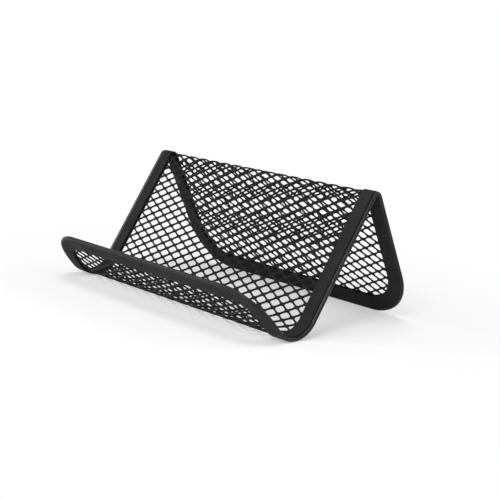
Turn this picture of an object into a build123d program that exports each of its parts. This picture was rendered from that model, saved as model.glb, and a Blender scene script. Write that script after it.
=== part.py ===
from build123d import *
import math
import os

# A desk stand for business cards: one sheet of diamond mesh, folded into a front lip, a round
# trough, a sloped backrest, a sharp ridge and a rear leg, with a steel channel crimped round its
# edge. Millimetres and degrees. +X runs along the ridge, the cards face -Y and the desk is z = 0.
# Distances along the folded sheet are called s, and start at the edge of the lip.

# Folded sheet, measured on the middle of its thickness
overall_width = 100.0
lip_length = 16.1
lip_angle = 47.3
trough_radius = 8.7
backrest_length = 41.4
backrest_angle = 59.0
ridge_radius = 1.3
leg_angle = 61.6
lip_corner_radius = 13.9
foot_corner_radius = 16.7

# Steel channel round the edge
rim_width = 5.7
rim_thickness = 1.35
rim_wall = 0.23
rim_nose_wall = 0.8
nose_chamfer_share = 0.58
seam_gap = 0.2

# Expanded mesh, with the long way of its openings along the ridge
long_pitch = 8.4
short_pitch = 4.7
strand_width = 0.9
mesh_thickness = 0.4
mesh_edge_clearance = 2.2

# Common to all cuts and comparisons
overrun = 0.2
close = 0.001
flat = 0.0000001

rim_half = rim_thickness / 2
slot_half = rim_half - rim_wall
nose_chamfer = nose_chamfer_share * rim_half
trough_turn = lip_angle + backrest_angle
ridge_turn = backrest_angle + leg_angle


def heading(angle):
    """Unit direction in the side view, where the first axis is Y and the second is Z."""
    return Vector(math.cos(math.radians(angle)), math.sin(math.radians(angle)))


# Side view of the middle of the sheet: the trough rests on the desk through the channel under it,
# and the leg is as long as it must be for the lower corner of its nose to reach the desk too.
trough_center = Vector(0, rim_half + trough_radius)
lip_end = trough_center + heading(-90 - lip_angle) * trough_radius
lip_edge = lip_end - heading(-lip_angle) * lip_length
backrest_start = trough_center + heading(backrest_angle - 90) * trough_radius
backrest_end = backrest_start + heading(backrest_angle) * backrest_length
ridge_center = backrest_end + heading(backrest_angle - 90) * ridge_radius
leg_start = ridge_center + heading(90 - leg_angle) * ridge_radius
leg_sine = math.sin(math.radians(leg_angle))
leg_cosine = math.cos(math.radians(leg_angle))
foot_height = rim_half * leg_cosine - nose_chamfer * min(leg_sine, leg_cosine)
leg_length = (leg_start.Y - foot_height) / leg_sine


def sheet_side(offset, inset):
    """Edges of the side view, offset to the card side of the sheet and cut short at both ends."""
    card_side = 90 - lip_angle
    back_side = 90 - leg_angle
    trough = CenterArc(trough_center, trough_radius - offset, -90 - lip_angle, trough_turn)
    ridge = CenterArc(ridge_center, ridge_radius + offset, 90 + backrest_angle, -ridge_turn)
    start = lip_edge + heading(-lip_angle) * inset + heading(card_side) * offset
    end = leg_start + heading(-leg_angle) * (leg_length - inset) + heading(back_side) * offset
    lip = Line(start, trough @ 0)
    backrest = Line(trough @ 1, ridge @ 0)
    leg = Line(ridge @ 1, end)
    return [lip, trough, backrest, ridge, leg]


def folded_plate(inset, half):
    """A plate on the folded sheet, of the given half thickness, inset all round from its outline."""
    upper = sheet_side(half, inset)
    lower = sheet_side(-half, inset)
    ends = [Line(upper[0] @ 0, lower[0] @ 0), Line(upper[-1] @ 1, lower[-1] @ 1)]
    section = make_face(upper + lower + ends)
    plate = extrude(Plane.YZ * section, overall_width / 2 - inset, both=True)
    lip_corners = plate.faces().sort_by(Axis.Y)[0].edges().filter_by(Axis.X, reverse=True)
    plate = fillet(lip_corners, lip_corner_radius - inset)
    foot_corners = plate.faces().sort_by(Axis.Y)[-1].edges().filter_by(Axis.X, reverse=True)
    return fillet(foot_corners, foot_corner_radius - inset)


def edge_rim():
    """The crimped channel: a blunt-nosed band with a slot for the mesh and a butt seam at the foot."""
    blank = folded_plate(0, rim_half)
    sharp_lengths = (overall_width, rim_thickness)
    outline = [
        edge
        for edge in blank.edges()
        if edge.geom_type != GeomType.LINE
        or all(abs(edge.length - length) > close for length in sharp_lengths)
    ]
    band = chamfer(outline, nose_chamfer) - folded_plate(rim_width, rim_half + overrun)
    channel = band - folded_plate(rim_nose_wall, slot_half)
    foot = leg_start + heading(-leg_angle) * leg_length
    seam_size = 2 * rim_width
    seam = Pos(0, foot.X, foot.Y) * Box(seam_gap, seam_size, seam_size)
    return channel - seam


# The mesh is rows of zigzag strands, bonded to each other along lines parallel to the ridge. The
# sheet bends only on those lines, so each row is flat. The ridge has an even number of rows, so a
# bond line runs along its top.
side_view = Wire(sheet_side(0, 0))
sheet_length = side_view.length
mesh_inset = rim_nose_wall + mesh_edge_clearance
row_aim = short_pitch / 2
step = long_pitch / 2
ridge_start = lip_length + math.radians(trough_turn) * trough_radius + backrest_length
ridge_end = ridge_start + math.radians(ridge_turn) * ridge_radius
ridge_rows = 2 * max(1, round((ridge_end - ridge_start) / short_pitch))
zone_ends = [mesh_inset, ridge_start, ridge_end, sheet_length - mesh_inset]
zone_rows = [
    round((ridge_start - mesh_inset) / row_aim),
    ridge_rows,
    round((sheet_length - mesh_inset - ridge_end) / row_aim),
]
bond_lines = [mesh_inset]
for start, end, rows in zip(zone_ends, zone_ends[1:], zone_rows):
    bond_lines += [start + (end - start) * row / rows for row in range(1, rows + 1)]

# An opening is the lattice diamond, drawn in by half a strand on each side.
diamond_inradius = step * row_aim / math.hypot(step, row_aim)
opening_share = 1 - strand_width / 2 / diamond_inradius
bond_half = step * (1 - opening_share)
row_reach = math.ceil(overall_width / 2 / step)


def bond_line_points(half):
    """The bond lines in side view, moved off the middle of the sheet along the mitre of each fold."""
    middle = [side_view.position_at(s, position_mode=PositionMode.LENGTH) for s in bond_lines]
    runs = [(after - before).normalized() for before, after in zip(middle, middle[1:])]
    points = []
    for point, before, after in zip(middle, [runs[0], *runs], [*runs, runs[-1]]):
        along = (before + after).normalized()
        mitre = half / along.dot(after)
        points.append(point + Vector(-along.Y, along.X) * mitre)
    return points


def row_outline(row):
    """Corners of a row as (x, share of its height, bond), along its lower line and back."""
    lower, upper = [], []
    for place in range(-row_reach, row_reach + 1):
        x = place * step
        bond = [x - bond_half, x + bond_half]
        if (place + row) % 2 == 0:
            lower += [(u, 0, place) for u in bond]
            upper += [(x, 1 - opening_share, None)]
        else:
            lower += [(x, opening_share, None)]
            upper += [(u, 1, place) for u in bond]
    return lower + upper[::-1]


def opening_wall(corners):
    """A wall of an opening: one flat face, or two where a fold gives it a slight twist."""
    a, b, c, d = corners
    twist = (b - a).cross(c - a).normalized().dot(d - a)
    loops = [corners] if abs(twist) < flat else [[a, b, c], [a, c, d]]
    return [Face(Wire.make_polygon(loop)) for loop in loops]


def mesh_sheet():
    """The folded mesh, from both skins of each row and the walls of its openings, cut to outline."""
    top, bottom = bond_line_points(mesh_thickness / 2), bond_line_points(-mesh_thickness / 2)
    faces = []
    for row in range(len(bond_lines) - 1):
        outline = row_outline(row)
        skins = []
        for line in (top, bottom):
            rise = line[row + 1] - line[row]
            flats = [line[row] + rise * share for x, share, bond in outline]
            skins.append([Vector(x, p.X, p.Y) for (x, share, bond), p in zip(outline, flats)])
        faces += [Face(Wire.make_polygon(skin)) for skin in skins]
        for index, (x, share, bond) in enumerate(outline):
            ahead = (index + 1) % len(outline)
            inner_line = 0 < row + share < len(bond_lines) - 1
            if bond is not None and bond == outline[ahead][2] and inner_line:
                continue
            near, far = skins
            faces += opening_wall([near[index], near[ahead], far[ahead], far[index]])
    return Solid(Shell(faces)) & folded_plate(mesh_inset, slot_half)


rim = edge_rim()
mesh = mesh_sheet()

# The origin is on the desk, under the middle of the stand.
footprint = rim.bounding_box().center()
to_origin = Pos(-footprint.X, -footprint.Y, 0)
os.makedirs("parts", exist_ok=True)
export_step(to_origin * rim, "parts/edge_rim.step")
export_step(to_origin * mesh, "parts/mesh_sheet.step")
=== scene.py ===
import bmesh
import bpy
import math
from mathutils import Matrix, Vector


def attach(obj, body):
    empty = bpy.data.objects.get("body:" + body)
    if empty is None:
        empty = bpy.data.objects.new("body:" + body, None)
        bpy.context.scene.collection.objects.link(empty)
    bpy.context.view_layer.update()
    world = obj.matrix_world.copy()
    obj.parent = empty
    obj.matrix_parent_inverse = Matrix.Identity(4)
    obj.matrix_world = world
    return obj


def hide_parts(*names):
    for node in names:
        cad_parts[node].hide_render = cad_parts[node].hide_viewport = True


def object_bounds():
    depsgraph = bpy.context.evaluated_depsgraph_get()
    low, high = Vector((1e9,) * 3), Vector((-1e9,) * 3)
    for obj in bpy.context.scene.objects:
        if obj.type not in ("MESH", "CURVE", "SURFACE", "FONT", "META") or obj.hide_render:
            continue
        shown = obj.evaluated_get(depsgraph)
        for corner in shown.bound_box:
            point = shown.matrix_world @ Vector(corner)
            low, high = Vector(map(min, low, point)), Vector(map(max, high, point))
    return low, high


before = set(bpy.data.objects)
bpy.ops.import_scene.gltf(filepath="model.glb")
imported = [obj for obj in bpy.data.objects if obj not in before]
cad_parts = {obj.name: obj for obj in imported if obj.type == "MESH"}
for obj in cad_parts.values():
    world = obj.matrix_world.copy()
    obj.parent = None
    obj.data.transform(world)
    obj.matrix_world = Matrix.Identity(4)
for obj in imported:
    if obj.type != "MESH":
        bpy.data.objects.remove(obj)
cad_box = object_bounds()

# A desk stand for business cards: black diamond mesh, folded into a lip, a round trough, a sloped
# backrest, a ridge and a rear leg, with a black steel channel crimped round its edge.
# The sheet is laid out flat first, as (u, s): u runs along the ridge and s from the lip's edge to
# the foot. Then it is folded. Heights off the sheet, h, are positive on the card side.
MM = 0.001

# Folded sheet, on the middle of its thickness
overall_width = 100.0 * MM
lip_length = 16.1 * MM
lip_angle = math.radians(47.3)
trough_radius = 8.7 * MM
backrest_length = 41.4 * MM
backrest_angle = math.radians(59.0)
ridge_radius = 1.3 * MM
leg_angle = math.radians(61.6)
lip_corner_radius = 13.9 * MM
foot_corner_radius = 16.7 * MM
trough_y = -17.82 * MM

# Channel: flat flanges that grip the mesh, a round nose, and on the card side a bead and a groove.
# At the corners the flanges have small creases from the crimping.
rim_width = 5.7 * MM
flange_half = 0.675 * MM
flange_edge_radius = 0.24 * MM
nose_depth = 0.6 * MM
bead_radius = 0.55 * MM
bead_gloss_share = 0.6
groove_half = 0.12 * MM
groove_end = 1.2 * MM
shoulder_radius = 0.12 * MM
slot_half = 0.36 * MM
slot_bottom = 2.6 * MM
seam_gap = 0.06 * MM
crease_depth = 0.24 * MM
crease_full = 2.0 * MM
crease_gaps_per_corner = 6
crease_sharpness = 8

# Expanded mesh, with the long way of its openings nearly along the ridge. An opening is skewed along
# its long way by a share of its height, and the strands lean by a share of their height off the sheet.
# On the leg the lattice is slipped a little, and turned about a pivot there.
long_pitch = 5.80 * MM
short_pitch = 3.26 * MM
lattice_turn = math.radians(3.34)
lattice_u = -35.50 * MM
lattice_up_backrest = 19.23 * MM
leg_slip = Vector((0.50, -2.16)) * MM
leg_turn = math.radians(-2.2)
leg_pivot = Vector((33.0, 105.0)) * MM
slip_reach = 6.0 * MM
lattice_margin = 3.0 * MM
strand_width = 0.65 * MM
mesh_half = 0.26 * MM
strand_edge_radius = 0.14 * MM
strand_edge_share = 0.78
long_end_radius = 0.36 * MM
short_end_radius = 1.3 * MM
opening_skew = 0.08
strand_lean = Vector((0.2, 0.4))
mesh_inset = 3.0 * MM

# Fineness of the meshes
straight_step = 5.0 * MM
bend_step = math.radians(5.0)
corner_steps = 72
bead_steps = 24
nose_steps = 8
edge_steps = 4
trim_planes_per_corner = 3
merge_distance = 0.002 * MM
sharp_angle = math.radians(40.0)

# Side view of the folded sheet: runs as (length, turn), starting at the lip's edge
trough_turn = lip_angle + backrest_angle
ridge_turn = backrest_angle + leg_angle
trough_length = trough_turn * trough_radius
ridge_length = ridge_turn * ridge_radius
ridge_rise = ridge_radius * (math.cos(leg_angle) - math.cos(backrest_angle))
backrest_rise = trough_radius * (1 - math.cos(backrest_angle)) + backrest_length * math.sin(backrest_angle)
foot_height = nose_depth * (1 - math.sin(leg_angle))
leg_drop = flange_half + backrest_rise + ridge_rise - foot_height
leg_length = leg_drop / math.sin(leg_angle)
runs = [
    (lip_length, 0.0),
    (trough_length, trough_turn),
    (backrest_length, 0.0),
    (ridge_length, -ridge_turn),
    (leg_length, 0.0),
]
sheet_length = sum(length for length, turn in runs)
lip_edge_y = trough_y - trough_radius * math.sin(lip_angle) - lip_length * math.cos(lip_angle)
lip_edge_z = flange_half + trough_radius * (1 - math.cos(lip_angle)) + lip_length * math.sin(lip_angle)


def folded(u, s, h):
    """Place in space of a point of the flat sheet, at height h off its middle."""
    y, z, angle = lip_edge_y, lip_edge_z, -lip_angle
    for length, turn in runs:
        part = min(s, length)
        half_turn = turn * part / length / 2
        chord = part * math.sin(half_turn) / half_turn if half_turn else part
        y += chord * math.cos(angle + half_turn)
        z += chord * math.sin(angle + half_turn)
        angle += 2 * half_turn
        s -= part
        if s <= 0:
            break
    return Vector((u, y - h * math.sin(angle), z + h * math.cos(angle)))


def between(start, end, steps):
    """Evenly spaced values from start to end, both included."""
    return [start + (end - start) * step / steps for step in range(steps + 1)]


def new_piece(name, mesh, materials):
    """A smooth-shaded piece that rides with the stand."""
    mesh.polygons.foreach_set("use_smooth", [True] * len(mesh.polygons))
    mesh.set_sharp_from_angle(angle=sharp_angle)
    for material in materials:
        mesh.materials.append(material)
    piece = bpy.data.objects.new(name, mesh)
    bpy.context.scene.collection.objects.link(piece)
    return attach(piece, "root")


# Channel round the edge


def side_stations():
    """Distances along the sheet at which the sides of the channel get a section, close at the folds."""
    stations, start = [], 0.0
    for length, turn in runs:
        steps = math.ceil(max(length / straight_step, abs(turn) / bend_step))
        stations += between(start, start + length, steps)[:-1]
        start += length
    return [s for s in stations if lip_corner_radius < s < sheet_length - foot_corner_radius]


def corner_stations(radius, center, start, end):
    """Stations round a corner of the outline, as (place, outward direction, crease)."""
    stations = []
    for share in between(0.0, 1.0, corner_steps):
        angle = start + (end - start) * share
        outward = Vector((math.cos(angle), math.sin(angle)))
        wave = math.cos(math.pi * crease_gaps_per_corner * share)
        crease = math.sin(math.pi * share) * wave ** crease_sharpness
        stations.append((center + outward * radius, outward, crease))
    return stations


def outline_stations():
    """Stations all round the outline of the flat sheet, from the seam at the foot and back to it."""
    half = overall_width / 2
    to_foot, to_side, to_lip = Vector((0, 1)), Vector((1, 0)), Vector((0, -1))
    foot_center = Vector((half - foot_corner_radius, sheet_length - foot_corner_radius))
    lip_center = Vector((half - lip_corner_radius, lip_corner_radius))
    quarter = math.pi / 2
    foot_steps = math.ceil(foot_center.x / straight_step)
    lip_steps = math.ceil(lip_center.x / straight_step)
    foot_places = between(seam_gap / 2, foot_center.x, foot_steps)[:-1]
    lip_places = between(lip_center.x, 0.0, lip_steps)[1:]
    right = [(Vector((u, sheet_length)), to_foot, 0.0) for u in foot_places]
    right += corner_stations(foot_corner_radius, foot_center, quarter, 0.0)
    right += [(Vector((half, s)), to_side, 0.0) for s in reversed(side_stations())]
    right += corner_stations(lip_corner_radius, lip_center, 0.0, -quarter)
    right += [(Vector((u, 0.0)), to_lip, 0.0) for u in lip_places]
    left = [
        (Vector((-place.x, place.y)), Vector((-outward.x, outward.y)), crease)
        for place, outward, crease in reversed(right[:-1])
    ]
    return right + left


def channel_section():
    """Section of the channel as (inset from the outline, height), from the slot round the nose and back.

    Also gives the places where the glossy side of the bead and the nose start, and the nose ends.
    """
    quarter = math.pi / 2
    edge_center = rim_width - flange_edge_radius
    edge = [(slot_bottom, slot_half), (edge_center, slot_half)]
    for angle in between(0.0, quarter, edge_steps):
        height = flange_half - flange_edge_radius * (1 - math.sin(angle))
        edge.append((edge_center + flange_edge_radius * math.cos(angle), height))
    edge.append((crease_full, flange_half))
    card_side = list(edge)
    for angle in between(quarter, 0.0, edge_steps):
        inset = groove_end + shoulder_radius * (1 - math.cos(angle))
        card_side.append((inset, flange_half - shoulder_radius * (1 - math.sin(angle))))
    card_side.append((groove_end, groove_half))
    bead_start = len(card_side)
    bead_end = math.pi - math.asin(groove_half / bead_radius)
    for angle in between(bead_end, 0.0, bead_steps):
        card_side.append((bead_radius * (1 - math.cos(angle)), bead_radius * math.sin(angle)))
    under_side = []
    for angle in between(0.0, quarter, nose_steps)[1:]:
        under_side.append((nose_depth * (1 - math.cos(angle)), -flange_half * math.sin(angle)))
    section = card_side + under_side + [(inset, -height) for inset, height in reversed(edge)]
    nose_start = bead_start + round(bead_gloss_share * bead_steps)
    return section, (bead_start, nose_start, bead_start + bead_steps + nose_steps)


def edge_channel(materials):
    """The crimped channel: its section carried round the outline, folded with the sheet.

    The materials are those of the flanges, the glossy side of the bead and the nose, in this order.
    """
    on_flange, on_bead, on_nose = range(len(materials))
    stations = outline_stations()
    section, (bead_start, nose_start, nose_end) = channel_section()
    places = []
    for place, outward, crease in stations:
        for inset, height in section:
            inward = min(1.0, max(0.0, (inset - groove_end) / (crease_full - groove_end)))
            above_slot = max(0.0, (abs(height) - slot_half) / (flange_half - slot_half))
            press = crease * crease_depth * inward * above_slot
            flat = place - outward * inset
            places.append(folded(flat.x, flat.y, height - math.copysign(press, height)))
    count = len(section)
    faces = [tuple(range(count)), tuple(reversed(range(len(places) - count, len(places))))]
    coats = [on_flange] * len(faces)
    for station in range(len(stations) - 1):
        start = station * count
        for index in range(count):
            ahead = (index + 1) % count
            if bead_start <= index < nose_start:
                coats.append(on_bead)
            elif nose_start <= index < nose_end:
                coats.append(on_nose)
            else:
                coats.append(on_flange)
            faces.append((start + ahead, start + index, start + count + index, start + count + ahead))
    mesh = bpy.data.meshes.new("edge_channel")
    mesh.from_pydata(places, [], faces)
    piece = new_piece("edge_channel", mesh, materials)
    mesh.polygons.foreach_set("material_index", coats)
    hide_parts("edge_rim")
    return piece


# Diamond mesh


def opening_quarter():
    """A quarter of an opening, from its long end to its short end: (edge, shoulder, strand middle)."""
    reach, rise = long_pitch / 2, short_pitch / 2
    side = math.hypot(reach, rise)
    shrink = 1 - strand_width / 2 * side / (reach * rise)
    facing = math.atan2(reach, rise)
    long_center = Vector((reach * shrink - long_end_radius * side / rise, 0))
    short_center = Vector((0, rise * shrink - short_end_radius * side / reach))
    edge = [(long_center, long_end_radius, angle) for angle in (0.0, facing / 2, facing)]
    halfway = (facing + math.pi / 2) / 2
    edge += [(short_center, short_end_radius, angle) for angle in (facing, halfway, math.pi / 2)]
    long_end, short_end = Vector((reach, 0)), Vector((0, rise))
    points = []
    for index, (center, radius, angle) in enumerate(edge):
        outward = Vector((math.cos(angle), math.sin(angle)))
        on_edge = center + outward * radius
        shoulder = center + outward * (radius + strand_edge_radius)
        middle = long_end.lerp(short_end, index / (len(edge) - 1))
        points.append((on_edge, shoulder, middle))
    return points


def opening_rings():
    """The whole opening as three rings of points: its edge, its shoulder and the middles of its strands."""
    quarter = opening_quarter()
    around = []
    for flip_u, flip_s in ((1, 1), (-1, 1), (-1, -1), (1, -1)):
        corner = quarter if flip_u == flip_s else quarter[::-1]
        for points in corner[:-1]:
            around.append([Vector((point.x * flip_u, point.y * flip_s)) for point in points])
    edge, shoulder, middle = [list(ring) for ring in zip(*around)]
    for point in edge + shoulder:
        point.x += opening_skew * point.y
    return edge, shoulder, middle


def lattice_centers():
    """Middles of all openings inside the cut edge of the mesh, and some more that slip may bring in."""
    turn = Matrix.Rotation(lattice_turn, 2)
    down = turn @ Vector((long_pitch / 2, -short_pitch / 2))
    up = turn @ Vector((long_pitch / 2, short_pitch / 2))
    origin = Vector((lattice_u, lip_length + trough_length + lattice_up_backrest))
    u_limit = overall_width / 2 - mesh_inset + long_pitch / 2 + lattice_margin
    s_low = mesh_inset - short_pitch / 2 - lattice_margin
    s_high = sheet_length - s_low
    reach = math.ceil(2 * (overall_width + sheet_length) / long_pitch)
    centers = []
    for i in range(-reach, reach):
        for j in range(-reach, reach):
            center = origin + down * i + up * j
            if abs(center.x) < u_limit and s_low < center.y < s_high:
                centers.append(center)
    return centers


def trim_lines():
    """Lines that cut the mesh to its outline, inside the channel, as (point, outward direction)."""
    half = overall_width / 2
    lines = []
    for radius, s, sign in ((lip_corner_radius, lip_corner_radius, -1),
                            (foot_corner_radius, sheet_length - foot_corner_radius, 1)):
        for angle in between(0.0, math.pi / 2, trim_planes_per_corner + 1):
            for side in (-1, 1):
                outward = Vector((side * math.cos(angle), sign * math.sin(angle), 0))
                center = Vector((side * (half - radius), s, 0))
                lines.append((center + outward * (radius - mesh_inset), outward))
    return lines


def slip(u, s):
    """How far the mesh lies off its lattice at a place: nothing on the backrest, eased in at the ridge."""
    start = lip_length + trough_length + backrest_length - slip_reach
    share = min(1.0, max(0.0, (s - start) / (ridge_length + 2 * slip_reach)))
    turned = Vector((leg_pivot.y - s, u - leg_pivot.x)) * leg_turn
    return (leg_slip + turned) * share * share * (3 - 2 * share)


def folded_mesh(materials):
    """The diamond mesh: rounded strands round every opening, cut to outline and folded."""
    inner_edge, shoulder, strand_middle = opening_rings()
    turn = Matrix.Rotation(lattice_turn, 2)
    shoulder_height = mesh_half * strand_edge_share
    layers = [
        (strand_middle, mesh_half),
        (shoulder, shoulder_height),
        (inner_edge, 0.0),
        (shoulder, -shoulder_height),
        (strand_middle, -mesh_half),
    ]
    layers = [([turn @ point for point in ring], height) for ring, height in layers]
    bm = bmesh.new()
    for center in lattice_centers():
        made = [[bm.verts.new((*(center + point), height)) for point in ring] for ring, height in layers]
        for upper, lower in zip(made, made[1:]):
            for index in range(len(upper)):
                bm.faces.new((upper[index - 1], upper[index], lower[index], lower[index - 1]))
    bmesh.ops.remove_doubles(bm, verts=bm.verts, dist=merge_distance)
    for vert in bm.verts:
        vert.co.xy += strand_lean * vert.co.z
        vert.co.xy += slip(*vert.co.xy)
    for point, outward in trim_lines():
        parts = bm.verts[:] + bm.edges[:] + bm.faces[:]
        bmesh.ops.bisect_plane(bm, geom=parts, plane_co=point, plane_no=outward, clear_outer=True)
    strand_ends = [edge for edge in bm.edges if edge.is_boundary]
    bmesh.ops.holes_fill(bm, edges=strand_ends)
    for vert in bm.verts:
        vert.co = folded(*vert.co)
    bmesh.ops.recalc_face_normals(bm, faces=bm.faces)
    mesh = bpy.data.meshes.new("folded_mesh")
    bm.to_mesh(mesh)
    bm.free()
    piece = new_piece("folded_mesh", mesh, materials)
    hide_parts("mesh_sheet")
    return piece


# Materials

tone_size = 6.0 * MM
tone_detail = 4.0
tone_range = (0.35, 0.65)
blue_share = 1.02
gloss_size = 3.0 * MM
peel_size = 0.45 * MM
peel_detail = 2.0


def powder_coat(name, specular, dark, light, smooth, rough, peel_height):
    """Satin black powder coat: a fine orange peel, with small changes of tone and gloss.

    Tones run from dark to light and roughness from smooth to rough.
    """
    material = bpy.data.materials.new(name)
    material.use_nodes = True
    nodes, links = material.node_tree.nodes, material.node_tree.links
    shader = nodes["Principled BSDF"]
    shader.inputs["Specular IOR Level"].default_value = specular
    places = nodes.new("ShaderNodeTexCoord")

    def noise(size, detail):
        node = nodes.new("ShaderNodeTexNoise")
        node.inputs["Scale"].default_value = 1 / size
        node.inputs["Detail"].default_value = detail
        links.new(places.outputs["Object"], node.inputs["Vector"])
        return node.outputs["Fac"]

    tone = nodes.new("ShaderNodeValToRGB")
    for element, grey, position in zip(tone.color_ramp.elements, (dark, light), tone_range):
        element.color = (grey, grey, grey * blue_share, 1)
        element.position = position
    links.new(noise(tone_size, tone_detail), tone.inputs["Fac"])
    links.new(tone.outputs["Color"], shader.inputs["Base Color"])
    gloss = nodes.new("ShaderNodeMapRange")
    gloss.inputs["From Min"].default_value = tone_range[0]
    gloss.inputs["From Max"].default_value = tone_range[1]
    gloss.inputs["To Min"].default_value = smooth
    gloss.inputs["To Max"].default_value = rough
    links.new(noise(gloss_size, tone_detail), gloss.inputs["Value"])
    links.new(gloss.outputs["Result"], shader.inputs["Roughness"])
    peel = nodes.new("ShaderNodeBump")
    peel.inputs["Distance"].default_value = peel_height
    links.new(noise(peel_size, peel_detail), peel.inputs["Height"])
    links.new(peel.outputs["Normal"], shader.inputs["Normal"])
    return material


flange_coat = powder_coat(
    "rim_powder_coat", specular=0.02, dark=0.0196, light=0.0266, smooth=0.44, rough=0.50,
    peel_height=0.012 * MM,
)
bead_coat = powder_coat(
    "bead_powder_coat", specular=0.5, dark=0.0175, light=0.0238, smooth=0.18, rough=0.24,
    peel_height=0.004 * MM,
)
nose_coat = powder_coat(
    "nose_powder_coat", specular=0.14, dark=0.0175, light=0.0238, smooth=0.28, rough=0.34,
    peel_height=0.008 * MM,
)
mesh_coat = powder_coat(
    "mesh_powder_coat", specular=0.05, dark=0.0134, light=0.0180, smooth=0.46, rough=0.52,
    peel_height=0.010 * MM,
)

edge_channel([flange_coat, bead_coat, nose_coat])
folded_mesh([mesh_coat])

# Stage: a pale floor that keeps the shadow and turns white further out, and a white surround
floor_size = 3.0
floor_albedo = 0.9
floor_white_share = 0.4
white_start = 40.0 * MM
white_end = 150.0 * MM


def direct_ray(nodes, links):
    """1 for rays that show the background: from the camera, in reflections and through glass."""
    path = nodes.new("ShaderNodeLightPath")
    total = path.outputs["Is Camera Ray"]
    for kind in ("Is Glossy Ray", "Is Transmission Ray"):
        either = nodes.new("ShaderNodeMath")
        either.operation = "MAXIMUM"
        links.new(total, either.inputs[0])
        links.new(path.outputs[kind], either.inputs[1])
        total = either.outputs["Value"]
    return total


def floor_material():
    """Pale and matt. Seen directly it is lifted towards white, all the way at a distance."""
    material = bpy.data.materials.new("floor_pale")
    material.use_nodes = True
    nodes, links = material.node_tree.nodes, material.node_tree.links
    nodes.remove(nodes["Principled BSDF"])
    matt = nodes.new("ShaderNodeBsdfDiffuse")
    matt.inputs["Color"].default_value = (floor_albedo, floor_albedo, floor_albedo, 1)
    white = nodes.new("ShaderNodeEmission")
    places = nodes.new("ShaderNodeTexCoord")
    distance = nodes.new("ShaderNodeVectorMath")
    distance.operation = "LENGTH"
    links.new(places.outputs["Object"], distance.inputs[0])
    fade = nodes.new("ShaderNodeMapRange")
    fade.interpolation_type = "SMOOTHSTEP"
    fade.inputs["From Min"].default_value = white_start
    fade.inputs["From Max"].default_value = white_end
    fade.inputs["To Min"].default_value = floor_white_share
    links.new(distance.outputs["Value"], fade.inputs["Value"])
    seen = nodes.new("ShaderNodeMath")
    seen.operation = "MULTIPLY"
    links.new(fade.outputs["Result"], seen.inputs[0])
    links.new(direct_ray(nodes, links), seen.inputs[1])
    mix = nodes.new("ShaderNodeMixShader")
    links.new(seen.outputs["Value"], mix.inputs["Fac"])
    links.new(matt.outputs["BSDF"], mix.inputs[1])
    links.new(white.outputs["Emission"], mix.inputs[2])
    links.new(mix.outputs["Shader"], nodes["Material Output"].inputs["Surface"])
    return material


def floor():
    """A large pale floor under the stand."""
    half = floor_size / 2
    mesh = bpy.data.meshes.new("floor")
    corners = [(-half, -half, 0), (half, -half, 0), (half, half, 0), (-half, half, 0)]
    mesh.from_pydata(corners, [], [tuple(range(len(corners)))])
    mesh.materials.append(floor_material())
    plane = bpy.data.objects.new("floor", mesh)
    bpy.context.scene.collection.objects.link(plane)


horizon_white = 0.10
ceiling_start = 0.45
ceiling_grey = 0.30


def surround():
    """White up to a little above the horizon, and a grey ceiling."""
    world = bpy.data.worlds.new("studio")
    world.use_nodes = True
    nodes, links = world.node_tree.nodes, world.node_tree.links
    background = nodes["Background"]
    directions = nodes.new("ShaderNodeTexCoord")
    split = nodes.new("ShaderNodeSeparateXYZ")
    links.new(directions.outputs["Generated"], split.inputs["Vector"])
    strength = nodes.new("ShaderNodeMapRange")
    strength.interpolation_type = "SMOOTHSTEP"
    strength.inputs["From Min"].default_value = horizon_white
    strength.inputs["From Max"].default_value = ceiling_start
    strength.inputs["To Min"].default_value = 1.0
    strength.inputs["To Max"].default_value = ceiling_grey
    links.new(split.outputs["Z"], strength.inputs["Value"])
    background.inputs["Color"].default_value = (1, 1, 1, 1)
    links.new(strength.outputs["Result"], background.inputs["Strength"])
    bpy.context.scene.world = world


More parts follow.
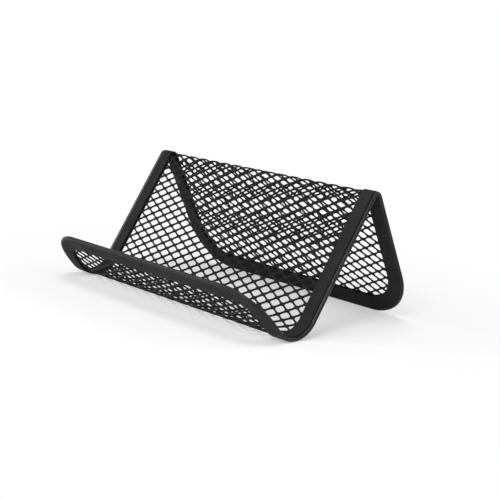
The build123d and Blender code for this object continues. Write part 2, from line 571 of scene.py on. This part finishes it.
def direction(azimuth, elevation):
    """Unit direction from the stand. Azimuth 0 is towards -Y and 90 towards +X."""
    a, e = math.radians(azimuth), math.radians(elevation)
    return Vector((math.sin(a) * math.cos(e), -math.cos(a) * math.cos(e), math.sin(e)))


def soft_box(name, azimuth, elevation, distance, size, watts):
    """A square lamp, aimed at the middle of the stand."""
    light = bpy.data.lights.new(name, "AREA")
    light.shape = "SQUARE"
    light.size = size
    light.energy = watts
    lamp = bpy.data.objects.new(name, light)
    stand_middle = (cad_box[0] + cad_box[1]) / 2
    away = direction(azimuth, elevation)
    lamp.location = stand_middle + away * distance
    lamp.rotation_mode = "QUATERNION"
    lamp.rotation_quaternion = away.to_track_quat("Z", "Y")
    bpy.context.scene.collection.objects.link(lamp)


# Camera at the photograph's viewing angle
camera_azimuth = 45.86
camera_elevation = 10.61
camera_roll = math.radians(4.56)
camera_distance = 356.22 * MM
camera_aim = Vector((5.15, 5.00, 16.23)) * MM
photo_size = 500
focal_pixels = 1111.2
camera_clip = 0.01


def camera():
    """The camera, turned a little about its own axis, as the photograph was taken."""
    back = direction(camera_azimuth, camera_elevation)
    level = Vector((0, 0, 1)).cross(back).normalized()
    upright = back.cross(level)
    right = level * math.cos(camera_roll) + upright * math.sin(camera_roll)
    up = back.cross(right)
    data = bpy.data.cameras.new("camera")
    data.lens = data.sensor_width * focal_pixels / photo_size
    data.clip_start = camera_clip
    view = bpy.data.objects.new("camera", data)
    place = Matrix((right, up, back)).transposed().to_4x4()
    place.translation = camera_aim + back * camera_distance
    view.matrix_world = place
    bpy.context.scene.collection.objects.link(view)
    bpy.context.scene.camera = view


floor()
surround()
soft_box("top", azimuth=0.0, elevation=82.0, distance=0.80, size=0.40, watts=2.33)
soft_box("front", azimuth=-47.0, elevation=25.0, distance=0.80, size=0.25, watts=1.67)
soft_box("key", azimuth=28.0, elevation=39.0, distance=0.60, size=0.20, watts=1.33)
soft_box("back", azimuth=155.0, elevation=30.0, distance=0.80, size=0.40, watts=1.20)
camera()
bpy.context.scene.view_settings.view_transform = "Standard"
